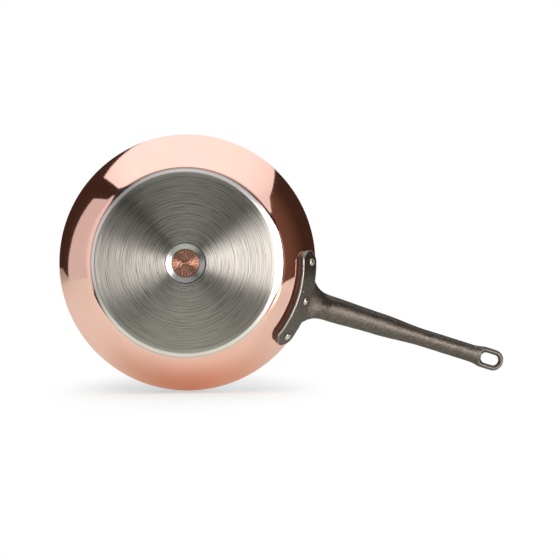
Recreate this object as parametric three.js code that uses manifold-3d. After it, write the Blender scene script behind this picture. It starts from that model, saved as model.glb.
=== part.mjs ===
// A riveted copper frying pan with a steel induction base and a cast-iron handle.
// Millimetres, +Z up. The pan's axis is Z, the base stands on z = 0 and the handle runs along +X.
import * as THREE from 'three';
import { mergeVertices } from 'three/addons/utils/BufferGeometryUtils.js';
import Module from 'manifold-3d';

const wasm = await Module();
wasm.setup();

// Pan body
const RIM_DIAMETER = 280;
const PAN_HEIGHT = 45;
const BASE_FLAT_DIAMETER = 199;
const CORNER_RADIUS = 8;
const WALL_RADIUS = 300;
const COPPER_THICKNESS = 1.8;
const LINING_THICKNESS = 0.3;
const BOND_GAP = 0.1;

// Induction plate under the base
const PLATE_DIAMETER = 202.8;
const PLATE_THICKNESS = 1.6;
const PLATE_EDGE_WIDTH = 3.4;
const PLATE_EDGE_LAND = 0.3;
const GROOVE_WIDTH = 1.7;
const GROOVE_DEPTH = 0.35;
const GROOVE_INSET = 0.7;
const DISH_DIAMETER = 42;
const DISH_DEPTH = 1.15;
const DISH_SHOULDER_WIDTH = 4.9;
const DISH_SHOULDER_DROP = 0.2;

// Copper disc in the middle of the dish
const MEDALLION_DIAMETER = 30.2;
const MEDALLION_CHAMFER = 0.3;
const MEDALLION_CLEARANCE = 0.3;

// Handle flange, measured along the wall from the rim down
const FLANGE_DROP = 6.5;
const FLANGE_HEIGHT = 23.6;
const FLANGE_THICKNESS = 6;
const FLANGE_CHAMFER = 1.4;
const FLANGE_END_MARGIN = 12.4;
const SEAT_GAP = 0.3;

// Handle shank and hanging loop
const HANDLE_LENGTH = 228.3;
const RISE_AT_NECK = THREE.MathUtils.degToRad(21);
const RISE_AT_LOOP = THREE.MathUtils.degToRad(11);
const SECTION_FULLNESS = 0.8;
const ROOT_NARROWING = 1.7;
const ROOT_WIDTH = 63;
const ROOT_THICKNESS = 5;
const ROOT_HEAD_MARGIN = 1;
const NECK_LENGTH = 21;
const NECK_WIDTH = 28.2;
const NECK_THICKNESS = 14.5;
const SHOULDER_WIDTH = 25;
const SHOULDER_THICKNESS = 13;
const TAPER_LENGTH = 54;
const GRIP_WIDTH = 19.6;
const GRIP_THICKNESS = 11;
const LOOP_BLEND = 27;
const LOOP_WIDTH = 23.7;
const LOOP_THICKNESS = 9;
const LOOP_WALL = 5.6;
const LOOP_HOLE_LENGTH = 21;
const LOOP_HOLE_WIDTH = 11.8;

// Rivets, spaced along the wall's own arc
const RIVET_SPACING = 41.4;
const RIVET_EDGE_DISTANCE = 10.5;
const RIVET_SHANK_DIAMETER = 5;
const RIVET_CLEARANCE = 0.15;
const OUTER_HEAD_DIAMETER = 7;
const OUTER_HEAD_HEIGHT = 2.2;
const INNER_HEAD_DIAMETER = 13;
const INNER_HEAD_HEIGHT = 1.8;

// Facets
const PAN_SEGMENTS = 72;
const RIVET_SEGMENTS = 20;
const CORNER_STEPS = 5;
const WALL_STEPS = 5;
const EDGE_STEPS = 4;
const HEAD_STEPS = 3;
const LOBE_STEPS = 5;
const FLANGE_STEPS = 14;
const ROOT_STEPS = 7;
const SHANK_STEPS = 14;
const LOOP_STEPS = 6;
const SHANK_SIDES = 20;
const HOLE_STEPS = 10;
const MERGE_DISTANCE = 1e-4;

const COPPER = new THREE.MeshStandardMaterial({ color: 0xe0a58a, roughness: 0.12, metalness: 1 });
const MEDALLION_COPPER = new THREE.MeshStandardMaterial({ color: 0xb98063, roughness: 0.35, metalness: 1 });
const LINING_STEEL = new THREE.MeshStandardMaterial({ color: 0xc9c8c5, roughness: 0.3, metalness: 1 });
const PLATE_STEEL = new THREE.MeshStandardMaterial({ color: 0xb9b6b0, roughness: 0.35, metalness: 1 });
const CAST_IRON = new THREE.MeshStandardMaterial({ color: 0x554c47, roughness: 0.6, metalness: 0.6 });
const RIVET_STEEL = new THREE.MeshStandardMaterial({ color: 0xb8b4ae, roughness: 0.35, metalness: 1 });

// In section the wall is a long arc that carries on from the round corner and ends at the rim.
const rimRadius = RIM_DIAMETER / 2;
const baseFlatRadius = BASE_FLAT_DIAMETER / 2;
const shellBottom = PLATE_THICKNESS + BOND_GAP;
const cornerCentre = new THREE.Vector2(baseFlatRadius, shellBottom + CORNER_RADIUS);
const cornerToRim = new THREE.Vector2(rimRadius, PAN_HEIGHT).sub(cornerCentre);
const radiusStep = WALL_RADIUS - CORNER_RADIUS;
const arcLift = (WALL_RADIUS ** 2 - radiusStep ** 2 - cornerToRim.lengthSq()) / (2 * radiusStep);
const footSlope = cornerToRim.angle() + Math.asin(arcLift / cornerToRim.length());
const wallCentre = new THREE.Vector2(
  cornerCentre.x - radiusStep * Math.sin(footSlope),
  cornerCentre.y + radiusStep * Math.cos(footSlope),
);
const rimSlope = Math.atan2(rimRadius - wallCentre.x, wallCentre.y - PAN_HEIGHT);
const wallLength = WALL_RADIUS * (rimSlope - footSlope);

// Depths of the bonded layers, measured inwards from the outer face of the copper
const liningOuterDepth = COPPER_THICKNESS + BOND_GAP;
const liningInnerDepth = liningOuterDepth + LINING_THICKNESS;

/** Point on the wall: angle round the pan, distance down from the rim, distance out from the copper. */
function wallPoint(angle, down, out) {
  const slope = rimSlope - down / WALL_RADIUS;
  const radius = wallCentre.x + (WALL_RADIUS + out) * Math.sin(slope);
  const height = wallCentre.y - (WALL_RADIUS + out) * Math.cos(slope);
  return new THREE.Vector3(radius * Math.cos(angle), radius * Math.sin(angle), height);
}

/** Merges a geometry's vertices, drops its empty triangles and turns its faces outwards. */
function closedBody(geometry) {
  const bare = geometry.clone();
  bare.deleteAttribute('normal');
  bare.deleteAttribute('uv');
  const merged = mergeVertices(bare, MERGE_DISTANCE);
  const index = merged.getIndex().array;
  const kept = [];
  let volume = 0;
  const [a, b, c] = [new THREE.Vector3(), new THREE.Vector3(), new THREE.Vector3()];
  for (let i = 0; i < index.length; i += 3) {
    const [p, q, r] = index.slice(i, i + 3);
    if (p === q || q === r || r === p) continue;
    kept.push(p, q, r);
    a.fromBufferAttribute(merged.attributes.position, p);
    b.fromBufferAttribute(merged.attributes.position, q);
    c.fromBufferAttribute(merged.attributes.position, r);
    volume += a.dot(b.cross(c));
  }
  if (volume < 0) kept.reverse();
  merged.setIndex(kept);
  return merged;
}

/** Closed geometry to a solid that can be joined and cut. */
function toSolid(geometry) {
  const body = closedBody(geometry);
  const vertProperties = new Float32Array(body.attributes.position.array);
  const triVerts = new Uint32Array(body.getIndex().array);
  return new wasm.Manifold(new wasm.Mesh({ numProp: 3, vertProperties, triVerts }));
}

/** Solid back to a geometry. */
function toGeometry(solid) {
  const mesh = solid.getMesh();
  const geometry = new THREE.BufferGeometry();
  geometry.setAttribute('position', new THREE.BufferAttribute(new Float32Array(mesh.vertProperties), 3));
  geometry.setIndex([...mesh.triVerts]);
  return geometry;
}

/** Profile of [radius, height] points turned about Z. */
function turned(profile, segments) {
  const points = profile.map(([radius, height]) => new THREE.Vector2(radius, height));
  return closedBody(new THREE.LatheGeometry(points, segments).rotateX(Math.PI / 2));
}

/** Skin through a row of equal rings of points, with a flat cap on each end. */
function loft(rings) {
  const sides = rings[0].length;
  const points = rings.flat();
  const index = [];
  for (let i = 0; i < rings.length - 1; i += 1) {
    for (let j = 0; j < sides; j += 1) {
      const next = (j + 1) % sides;
      const [p, q, r, s] = [i * sides + j, i * sides + next, (i + 1) * sides + next, (i + 1) * sides + j];
      index.push(p, q, r, p, r, s);
    }
  }
  for (const first of [0, (rings.length - 1) * sides]) {
    const centre = points.length;
    const ring = points.slice(first, first + sides);
    points.push(ring.reduce((sum, point) => sum.add(point), new THREE.Vector3()).divideScalar(sides));
    for (let j = 0; j < sides; j += 1) {
      const edge = [first + j, first + ((j + 1) % sides)];
      index.push(centre, ...(first === 0 ? edge.reverse() : edge));
    }
  }
  const geometry = new THREE.BufferGeometry().setFromPoints(points);
  geometry.setIndex(index);
  return closedBody(geometry);
}

/** Profile of the pan at a depth inside the copper's outer face, from the axis out and up to the rim. */
function panProfile(depth) {
  const profile = [[0, shellBottom + depth]];
  const corner = CORNER_RADIUS - depth;
  for (let i = 0; i <= CORNER_STEPS; i += 1) {
    const slope = (footSlope * i) / CORNER_STEPS;
    profile.push([cornerCentre.x + corner * Math.sin(slope), cornerCentre.y - corner * Math.cos(slope)]);
  }
  const wall = WALL_RADIUS - depth;
  const topSlope = Math.acos((wallCentre.y - PAN_HEIGHT) / wall);
  for (let i = 1; i <= WALL_STEPS; i += 1) {
    const slope = THREE.MathUtils.lerp(footSlope, topSlope, i / WALL_STEPS);
    profile.push([wallCentre.x + wall * Math.sin(slope), wallCentre.y - wall * Math.cos(slope)]);
  }
  return profile;
}

/** One bonded layer of the pan between two depths, still without rivet holes. */
function panLayer(outerDepth, innerDepth) {
  return turned([...panProfile(outerDepth), ...panProfile(innerDepth).reverse()], PAN_SEGMENTS);
}

// The rivets' places: angles round the pan, and their common distance down from the rim
const rivetDown = FLANGE_DROP + RIVET_EDGE_DISTANCE;
const rivetWallRadius = wallPoint(0, rivetDown, 0).x;
const rivetSlope = rimSlope - rivetDown / WALL_RADIUS;
const rivetAngle = RIVET_SPACING / rivetWallRadius;
const rivetAngles = { rivet_upper: -rivetAngle, rivet_middle: 0, rivet_lower: rivetAngle };

/** Turns a geometry whose axis is Z to stand on the wall at one angle, with +Z pointing out of it. */
function placedOnWall(geometry, angle) {
  const foot = wallPoint(angle, rivetDown, 0);
  const out = wallPoint(angle, rivetDown, 1).sub(foot);
  const turn = new THREE.Quaternion().setFromUnitVectors(new THREE.Vector3(0, 0, 1), out);
  return geometry.clone().applyQuaternion(turn).translate(foot.x, foot.y, foot.z);
}

/** Cuts the three rivet holes through a solid. */
function withRivetHoles(solid) {
  const radius = RIVET_SHANK_DIAMETER / 2 + RIVET_CLEARANCE;
  const reach = 2 * (liningInnerDepth + SEAT_GAP + FLANGE_THICKNESS) + OUTER_HEAD_DIAMETER;
  const drill = new THREE.CylinderGeometry(radius, radius, reach, RIVET_SEGMENTS).rotateX(Math.PI / 2);
  let cut = solid;
  for (const angle of Object.values(rivetAngles)) cut = cut.subtract(toSolid(placedOnWall(drill, angle)));
  return cut;
}

function copperShell() {
  return toGeometry(withRivetHoles(toSolid(panLayer(0, COPPER_THICKNESS))));
}

function steelLining() {
  return toGeometry(withRivetHoles(toSolid(panLayer(liningOuterDepth, liningInnerDepth))));
}

/** Steel disc: dish in the middle, flat face, groove, then a rounded edge. */
function inductionPlate() {
  const plateRadius = PLATE_DIAMETER / 2;
  const holeRadius = MEDALLION_DIAMETER / 2 + MEDALLION_CLEARANCE;
  const dishRadius = DISH_DIAMETER / 2;
  const edgeStart = plateRadius - PLATE_EDGE_WIDTH;
  const grooveOuter = edgeStart - GROOVE_INSET;
  const grooveInner = grooveOuter - GROOVE_WIDTH;
  const grooveSide = GROOVE_DEPTH;
  const edgeHeight = PLATE_THICKNESS - PLATE_EDGE_LAND;
  const profile = [
    [holeRadius, PLATE_THICKNESS],
    [holeRadius, DISH_DEPTH],
    [dishRadius, DISH_SHOULDER_DROP],
    [dishRadius + DISH_SHOULDER_WIDTH, 0],
    [grooveInner, 0],
    [grooveInner + grooveSide, GROOVE_DEPTH],
    [grooveOuter - grooveSide, GROOVE_DEPTH],
    [grooveOuter, 0],
  ];
  for (let i = 0; i <= EDGE_STEPS; i += 1) {
    const turn = (Math.PI / 2) * (i / EDGE_STEPS);
    profile.push([edgeStart + PLATE_EDGE_WIDTH * Math.sin(turn), edgeHeight * (1 - Math.cos(turn))]);
  }
  profile.push([plateRadius, PLATE_THICKNESS], profile[0]);
  return turned(profile, PAN_SEGMENTS);
}

function baseMedallion() {
  const radius = MEDALLION_DIAMETER / 2;
  return turned([
    [0, 0],
    [radius - MEDALLION_CHAMFER, 0],
    [radius, MEDALLION_CHAMFER],
    [radius, PLATE_THICKNESS],
    [0, PLATE_THICKNESS],
  ], PAN_SEGMENTS);
}

/** Half height of the flange's round-ended outline at a distance in from one end. */
function lobeHalfHeight(inFromEnd) {
  const lobeRadius = FLANGE_HEIGHT / 2;
  const short = Math.max(lobeRadius - inFromEnd, 0);
  return Math.sqrt(lobeRadius ** 2 - short ** 2);
}

/** Curved plate with round ends; its back reaches into the wall, to be cut to the wall's own shape. */
function flangeBlank() {
  const halfArc = RIVET_SPACING + FLANGE_END_MARGIN;
  const lobeRadius = FLANGE_HEIGHT / 2;
  const arcs = [];
  for (let i = 1; i <= LOBE_STEPS; i += 1) {
    arcs.push(lobeRadius * (1 - Math.cos((Math.PI / 2) * (i / LOBE_STEPS))));
  }
  const straight = 2 * (halfArc - lobeRadius);
  for (let i = 1; i < FLANGE_STEPS; i += 1) arcs.push(lobeRadius + (straight * i) / FLANGE_STEPS);
  for (const arc of arcs.slice(0, LOBE_STEPS).reverse()) arcs.push(2 * halfArc - arc);
  const middle = FLANGE_DROP + lobeRadius;
  const front = SEAT_GAP + FLANGE_THICKNESS;
  const back = -COPPER_THICKNESS;
  const rings = arcs.map((arc) => {
    const half = lobeHalfHeight(Math.min(arc, 2 * halfArc - arc));
    const chamfer = Math.min(FLANGE_CHAMFER, half / 2);
    const angle = (arc - halfArc) / rivetWallRadius;
    const outline = [
      [-half, back],
      [half, back],
      [half, front - chamfer],
      [half - chamfer, front],
      [chamfer - half, front],
      [-half, front - chamfer],
    ];
    return outline.map(([across, out]) => wallPoint(angle, middle + across, out));
  });
  return loft(rings);
}

// The shank's stations, as distances from the pan's axis
const neckReach = rimRadius + NECK_LENGTH;
const handleReach = rimRadius + HANDLE_LENGTH;
const loopReach = handleReach - LOOP_WIDTH / 2;
const gripEnd = loopReach - LOOP_BLEND;
const taperMiddle = (neckReach + gripEnd) / 2;
const stations = [
  { reach: neckReach, width: NECK_WIDTH, thickness: NECK_THICKNESS },
  { reach: taperMiddle - TAPER_LENGTH / 2, width: SHOULDER_WIDTH, thickness: SHOULDER_THICKNESS },
  { reach: taperMiddle + TAPER_LENGTH / 2, width: GRIP_WIDTH, thickness: GRIP_THICKNESS },
  { reach: gripEnd, width: GRIP_WIDTH, thickness: (GRIP_THICKNESS + LOOP_THICKNESS) / 2 },
  { reach: loopReach, width: LOOP_WIDTH, thickness: LOOP_THICKNESS },
];

// The shank starts above the middle rivet's head, runs up along the wall and bends out at the neck.
const rootDown = rivetDown - OUTER_HEAD_DIAMETER / 2 - ROOT_HEAD_MARGIN;
const rootStart = wallPoint(0, rootDown, SEAT_GAP + FLANGE_THICKNESS / 2);
const bend = wallPoint(0, FLANGE_DROP / 2, SEAT_GAP + FLANGE_THICKNESS / 2);
const neckHeight = bend.z + (neckReach - bend.x) * Math.tan(RISE_AT_NECK);
const neck = new THREE.Vector3(neckReach, 0, neckHeight);

/** Height of the shank's middle line, a parabola from the neck's rise to the loop's. */
function shankHeight(reach) {
  const along = reach - neckReach;
  const change = Math.tan(RISE_AT_LOOP) - Math.tan(RISE_AT_NECK);
  return neckHeight + along * Math.tan(RISE_AT_NECK) + (change * along ** 2) / (2 * (loopReach - neckReach));
}

function shankRise(reach) {
  const share = (reach - neckReach) / (loopReach - neckReach);
  return Math.atan(THREE.MathUtils.lerp(Math.tan(RISE_AT_NECK), Math.tan(RISE_AT_LOOP), share));
}

/** Width and thickness of the shank at a reach, eased between its stations. */
function shankSize(reach) {
  const last = stations.findIndex((station) => station.reach >= reach);
  const to = stations[Math.max(last, 1)];
  const from = stations[Math.max(last, 1) - 1];
  const share = THREE.MathUtils.smoothstep(reach, from.reach, to.reach);
  return {
    width: THREE.MathUtils.lerp(from.width, to.width, share),
    thickness: THREE.MathUtils.lerp(from.thickness, to.thickness, share),
  };
}

/** Ring of points round the shank, a rounded oblong square to its rise. */
function shankRing(centre, rise, width, thickness) {
  const ring = [];
  const up = new THREE.Vector3(-Math.sin(rise), 0, Math.cos(rise));
  const side = new THREE.Vector3(0, 1, 0);
  for (let i = 0; i < SHANK_SIDES; i += 1) {
    const turn = (2 * Math.PI * i) / SHANK_SIDES;
    const [c, s] = [Math.cos(turn), Math.sin(turn)];
    const across = (width / 2) * Math.sign(c) * Math.abs(c) ** SECTION_FULLNESS;
    const above = (thickness / 2) * Math.sign(s) * Math.abs(s) ** SECTION_FULLNESS;
    ring.push(centre.clone().addScaledVector(side, across).addScaledVector(up, above));
  }
  return ring;
}

/** Ring of the root, wrapped round the pan where it leaves the flange. */
function rootRing(centre, rise, share) {
  const width = THREE.MathUtils.lerp(NECK_WIDTH, ROOT_WIDTH, (1 - share) ** ROOT_NARROWING);
  const thickness = THREE.MathUtils.lerp(ROOT_THICKNESS, NECK_THICKNESS, share ** 2);
  const ring = shankRing(centre, rise, width, thickness);
  for (const point of ring) {
    const fallBack = rivetWallRadius - Math.sqrt(rivetWallRadius ** 2 - point.y ** 2);
    point.x -= (1 - share) * fallBack;
  }
  return ring;
}

/** Root, shank and round end of the handle as one bar. */
function shankBlank() {
  const rings = [];
  const rootCurve = new THREE.QuadraticBezierCurve3(rootStart, bend, neck);
  for (let i = 0; i < ROOT_STEPS; i += 1) {
    const share = i / ROOT_STEPS;
    const tangent = rootCurve.getTangent(share);
    rings.push(rootRing(rootCurve.getPoint(share), Math.atan2(tangent.z, tangent.x), share));
  }
  for (let i = 0; i < stations.length - 1; i += 1) {
    const steps = Math.round(SHANK_STEPS / (stations.length - 1));
    for (let j = 0; j < steps; j += 1) {
      const reach = THREE.MathUtils.lerp(stations[i].reach, stations[i + 1].reach, j / steps);
      const { width, thickness } = shankSize(reach);
      const centre = new THREE.Vector3(reach, 0, shankHeight(reach));
      rings.push(shankRing(centre, shankRise(reach), width, thickness));
    }
  }
  for (let i = 0; i < LOOP_STEPS; i += 1) {
    const turn = (Math.PI / 2) * (i / LOOP_STEPS);
    const reach = loopReach + (LOOP_WIDTH / 2) * Math.sin(turn);
    const centre = new THREE.Vector3(reach, 0, shankHeight(reach));
    rings.push(shankRing(centre, shankRise(reach), LOOP_WIDTH * Math.cos(turn), LOOP_THICKNESS));
  }
  return loft(rings);
}

/** Long round hole through the loop, square to the shank there. */
function loopHoleCutter() {
  const radius = LOOP_HOLE_WIDTH / 2;
  const half = LOOP_HOLE_LENGTH / 2 - radius;
  const outline = new THREE.Shape();
  outline.absarc(half, 0, radius, -Math.PI / 2, Math.PI / 2, false);
  outline.absarc(-half, 0, radius, Math.PI / 2, (3 * Math.PI) / 2, false);
  outline.closePath();
  const depth = 3 * LOOP_THICKNESS;
  const reach = handleReach - LOOP_WALL - LOOP_HOLE_LENGTH / 2;
  const options = { depth, curveSegments: HOLE_STEPS, bevelEnabled: false };
  return new THREE.ExtrudeGeometry(outline, options)
    .translate(0, 0, -depth / 2)
    .rotateY(-shankRise(reach))
    .translate(reach, 0, shankHeight(reach));
}

/** The pan's outside, grown by the seat gap and carried on above the rim, to cut the flange's back. */
function wallCutter() {
  const side = [];
  for (let i = 0; i <= 2 * WALL_STEPS; i += 1) {
    const point = wallPoint(0, wallLength * (1 - i / WALL_STEPS), SEAT_GAP);
    side.push([point.x, point.z]);
  }
  return turned([[0, side[0][1]], ...side, [0, side[side.length - 1][1]]], PAN_SEGMENTS);
}

function handle() {
  const casting = toSolid(flangeBlank()).add(toSolid(shankBlank()));
  const seated = casting.subtract(toSolid(wallCutter()));
  return toGeometry(withRivetHoles(seated).subtract(toSolid(loopHoleCutter())));
}

/** Dome from a head's edge to its tip on the axis, away from its seat. */
function headDome(diameter, seat, height) {
  const dome = [];
  for (let i = 0; i <= HEAD_STEPS; i += 1) {
    const turn = (Math.PI / 2) * (i / HEAD_STEPS);
    dome.push([(diameter / 2) * Math.cos(turn), seat + height * Math.sin(turn)]);
  }
  return dome;
}

/** Rivet along Z with 0 at the copper's outer face: small head outside, wide low head inside. */
function rivet(angle) {
  const hollow = ((INNER_HEAD_DIAMETER / 2) ** 2 * Math.sin(rivetSlope)) / (2 * rivetWallRadius);
  const innerSeat = -(liningInnerDepth + SEAT_GAP + hollow);
  const outerSeat = SEAT_GAP + FLANGE_THICKNESS + SEAT_GAP;
  const shankRadius = RIVET_SHANK_DIAMETER / 2;
  const profile = [
    ...headDome(INNER_HEAD_DIAMETER, innerSeat, -INNER_HEAD_HEIGHT).reverse(),
    [shankRadius, innerSeat],
    [shankRadius, outerSeat],
    ...headDome(OUTER_HEAD_DIAMETER, outerSeat, OUTER_HEAD_HEIGHT),
  ];
  profile[0][0] = 0;
  profile[profile.length - 1][0] = 0;
  return placedOnWall(turned(profile, RIVET_SEGMENTS), angle);
}

const pan = new THREE.Group();

function addPiece(name, geometry, material) {
  geometry.computeVertexNormals();
  const piece = new THREE.Mesh(geometry, material);
  piece.name = name;
  pan.add(piece);
}

addPiece('copper_shell', copperShell(), COPPER);
addPiece('steel_lining', steelLining(), LINING_STEEL);
addPiece('induction_plate', inductionPlate(), PLATE_STEEL);
addPiece('base_medallion', baseMedallion(), MEDALLION_COPPER);
addPiece('handle', handle(), CAST_IRON);
for (const [name, angle] of Object.entries(rivetAngles)) addPiece(name, rivet(angle), RIVET_STEEL);

export default pan;
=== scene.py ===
"""Copper frying pan stood on its rim and seen from below.

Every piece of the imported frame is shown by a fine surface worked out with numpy, in the frame's own place.
Lengths are metres; sizes that the frame doesn't give are written in millimetres times MM.
"""

import bmesh
import bpy
import numpy as np
from mathutils import Matrix, Vector


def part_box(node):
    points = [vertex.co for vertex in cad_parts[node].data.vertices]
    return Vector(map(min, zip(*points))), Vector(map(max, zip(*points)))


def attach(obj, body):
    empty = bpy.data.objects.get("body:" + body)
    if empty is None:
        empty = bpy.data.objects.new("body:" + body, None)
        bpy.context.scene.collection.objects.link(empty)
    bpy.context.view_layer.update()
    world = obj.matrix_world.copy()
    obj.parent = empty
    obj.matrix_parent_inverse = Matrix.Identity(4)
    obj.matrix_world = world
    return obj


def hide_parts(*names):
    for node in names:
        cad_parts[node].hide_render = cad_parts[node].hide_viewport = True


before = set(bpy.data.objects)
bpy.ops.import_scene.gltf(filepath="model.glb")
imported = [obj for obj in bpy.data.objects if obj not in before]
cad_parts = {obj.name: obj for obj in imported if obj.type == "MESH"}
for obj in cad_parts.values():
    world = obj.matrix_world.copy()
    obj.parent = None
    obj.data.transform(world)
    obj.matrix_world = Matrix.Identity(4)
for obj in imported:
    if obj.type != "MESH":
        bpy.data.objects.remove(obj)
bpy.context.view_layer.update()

MM = 0.001

# Sizes of the pan, from the frame
RIM_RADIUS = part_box("copper_shell")[1][0]
PAN_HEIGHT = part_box("copper_shell")[1][2]
SHELL_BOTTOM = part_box("copper_shell")[0][2]
LINING_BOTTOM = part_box("steel_lining")[0][2]
PLATE_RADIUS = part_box("induction_plate")[1][0]
PLATE_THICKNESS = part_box("induction_plate")[1][2]
MEDALLION_SEAT_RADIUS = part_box("base_medallion")[1][0]

# Pan body
BASE_FLAT_RADIUS = 99.05 * MM
CORNER_RADIUS = 11 * MM
WALL_RADIUS = 300 * MM
BOND_GAP = 0.1 * MM
LINING_THICKNESS = 0.3 * MM
COPPER_THICKNESS = LINING_BOTTOM - BOND_GAP - SHELL_BOTTOM
RIM_ROUND = 0.45 * MM

# Induction plate
BEVEL_WIDTH = 3.7 * MM
BEVEL_HEIGHT = 1.54 * MM
BEVEL_ROUND = 0.9 * MM
BEVEL_START = PLATE_RADIUS - BEVEL_WIDTH
BEVEL_START_ROUND = 5 * MM
STEP_WIDTH = 1.0 * MM
STEP_DROP = 0.19 * MM
STEP_ROUND = 5 * MM
FACE_END = BEVEL_START - STEP_WIDTH
LIP_WIDTH = 3.2 * MM
LIP_START = FACE_END - LIP_WIDTH
EDGE_ROUND = 0.12 * MM
DISH_RADIUS = 21.0 * MM
DISH_LINE_WIDTH = 1.4 * MM
DISH_DEPTH = 1.5 * MM
DISH_LINE_DROP = 0.34 * MM
DISH_SHOULDER_DROP = 0.09 * MM
DISH_ROUND = 4 * MM
SHOULDER_RADIUS = 23.6 * MM
SHOULDER_STEP_WIDTH = 1.3 * MM
SHOULDER_STEP = 0.07 * MM
SHOULDER_ROUND = 8 * MM
MEDALLION_CLEARANCE = 0.15 * MM

# Middle disc, a little smaller than its seat, and its turned ornament
MEDALLION_RADIUS = MEDALLION_SEAT_RADIUS - 0.6 * MM
MEDALLION_CHAMFER = 0.3 * MM
ENGRAVED_DEPTH = 0.22 * MM
ENGRAVED_SOFTNESS = 0.16 * MM
ENGRAVED_RINGS = ((13.6 * MM, 0.45 * MM), (9.3 * MM, 0.4 * MM), (2.0 * MM, 0.6 * MM))
TICK_COUNT = 24
TICK_SPAN = (10.5 * MM, 12.8 * MM)
TICK_HALF_WIDTH = 0.6 * MM
ARM_COUNT = 8
ARM_SPAN = (2.6 * MM, 9.0 * MM)
ARM_HALF_WIDTH = 0.55 * MM
ARM_WHIRL = 5.5 * MM

# Handle flange, measured along the wall from the rim down and out from the wall
SEAT_GAP = 0.3 * MM
FLANGE_DROP = 6.5 * MM
FLANGE_HEIGHT = 23.6 * MM
FLANGE_THICKNESS = 6 * MM
FLANGE_MIDDLE = SEAT_GAP + FLANGE_THICKNESS / 2
FLANGE_FACE = SEAT_GAP + FLANGE_THICKNESS
FLANGE_ROUND = 1.9 * MM
FLANGE_END_ROUND = 3.8 * MM
FLANGE_BACK_ROUND = 0.5 * MM
FLANGE_END_MARGIN = 12.4 * MM
PIP_ALONG = 9.2 * MM
PIP_DOWN = 7.5 * MM
PIP_RADIUS = 1.6 * MM
PIP_HEIGHT = 0.9 * MM

# Where the iron's painted shade, highlight and reflection and its painted edge glint fade out: off the wall,
# along the flange and down the wall
SIDE_SHADE_FADE = (3.3 * MM, 4.6 * MM)
END_HIGHLIGHT_FADE = (5.2 * MM, 6.0 * MM)
WALL_REFLECTION_FADE = (0.9 * MM, 1.8 * MM)
GLINT_OFF_WALL = (4.3 * MM, 5.0 * MM)
GLINT_DOWN = (28.0 * MM, 29.2 * MM)
UPPER_END = (46 * MM, 52 * MM)

# Handle shank and hanging loop
HANDLE_LENGTH = 228.3 * MM
RISE_AT_NECK = np.radians(21)
RISE_AT_LOOP = np.radians(11)
ROOT_WIDTH = 74 * MM
ROOT_NARROWING = 2.3
ROOT_THICKNESS = 5 * MM
ROOT_HEAD_MARGIN = 1 * MM
NECK_LENGTH = 21 * MM
NECK_WIDTH = 28.2 * MM
NECK_THICKNESS = 14.5 * MM
SHOULDER_WIDTH = 25 * MM
SHOULDER_THICKNESS = 13 * MM
TAPER_LENGTH = 54 * MM
GRIP_WIDTH = 19.6 * MM
GRIP_THICKNESS = 11 * MM
LOOP_BLEND = 27 * MM
LOOP_WIDTH = 23.7 * MM
LOOP_THICKNESS = 9 * MM
LOOP_WALL = 5.6 * MM
LOOP_HOLE_LENGTH = 21 * MM
LOOP_HOLE_WIDTH = 11.8 * MM
LOOP_TURN_IN = 6
LOOP_SQUARENESS = 4
SHANK_END_MARGIN = 0.5 * MM

# Height, size and seed of the casting's lumps
CASTING_LUMPS = ((0.05 * MM, 2.2 * MM, 11), (0.09 * MM, 7 * MM, 12))
LATTICE_VALUES = 4096
LATTICE_PRIMES = (73856093, 19349663, 83492791)

# Rivets
RIVET_SPACING = 41.4 * MM
RIVET_EDGE_DISTANCE = 10.5 * MM
RIVET_SHANK_RADIUS = 2.5 * MM
OUTER_HEAD_RADIUS = 4 * MM
OUTER_HEAD_HEIGHT = 2.3 * MM
INNER_HEAD_RADIUS = 6.5 * MM
INNER_HEAD_HEIGHT = 1.8 * MM

# Fineness of the surfaces
PAN_COLUMNS = 320
MEDALLION_ROWS = 130
MEDALLION_COLUMNS = 480
RIVET_HEAD_ROWS = 14
RIVET_COLUMNS = 64
ROOT_ROWS = 30
SHANK_ROWS = 150
SHANK_COLUMNS = 64
LOOP_ROWS = 120
LOOP_COLUMNS = 40
FLANGE_ROWS = 90
FLANGE_END_ROWS = 24
FLANGE_FIRST_TURN = np.radians(4)
FLANGE_CORNER_COLUMNS = 8
ARC_STEP = np.radians(3)
ROUNDING_LIMIT = 0.49
WALL_STEPS = 24
HANDLE_VOXEL = 0.6 * MM
HANDLE_SMOOTHING = 4
MERGE_DISTANCE = 1e-7
SHARP_ANGLE = np.radians(40)

# In section the wall is a long arc that carries on from the round corner and ends at the rim.
CORNER_CENTRE = np.array([BASE_FLAT_RADIUS, SHELL_BOTTOM + CORNER_RADIUS])
_to_rim = np.array([RIM_RADIUS, PAN_HEIGHT]) - CORNER_CENTRE
_step = WALL_RADIUS - CORNER_RADIUS
_lift = (WALL_RADIUS ** 2 - _step ** 2 - _to_rim @ _to_rim) / (2 * _step)
FOOT_SLOPE = np.arctan2(_to_rim[1], _to_rim[0]) + np.arcsin(_lift / np.linalg.norm(_to_rim))
WALL_CENTRE = CORNER_CENTRE + _step * np.array([-np.sin(FOOT_SLOPE), np.cos(FOOT_SLOPE)])
RIM_SLOPE = np.arctan2(RIM_RADIUS - WALL_CENTRE[0], WALL_CENTRE[1] - PAN_HEIGHT)
LINING_DEPTH = COPPER_THICKNESS + BOND_GAP
INSIDE_DEPTH = LINING_DEPTH + LINING_THICKNESS
RIVET_DOWN = FLANGE_DROP + RIVET_EDGE_DISTANCE
RIVET_SLOPE = RIM_SLOPE - RIVET_DOWN / WALL_RADIUS
RIVET_WALL_RADIUS = WALL_CENTRE[0] + WALL_RADIUS * np.sin(RIVET_SLOPE)
RIVET_ANGLE = RIVET_SPACING / RIVET_WALL_RADIUS

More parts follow.
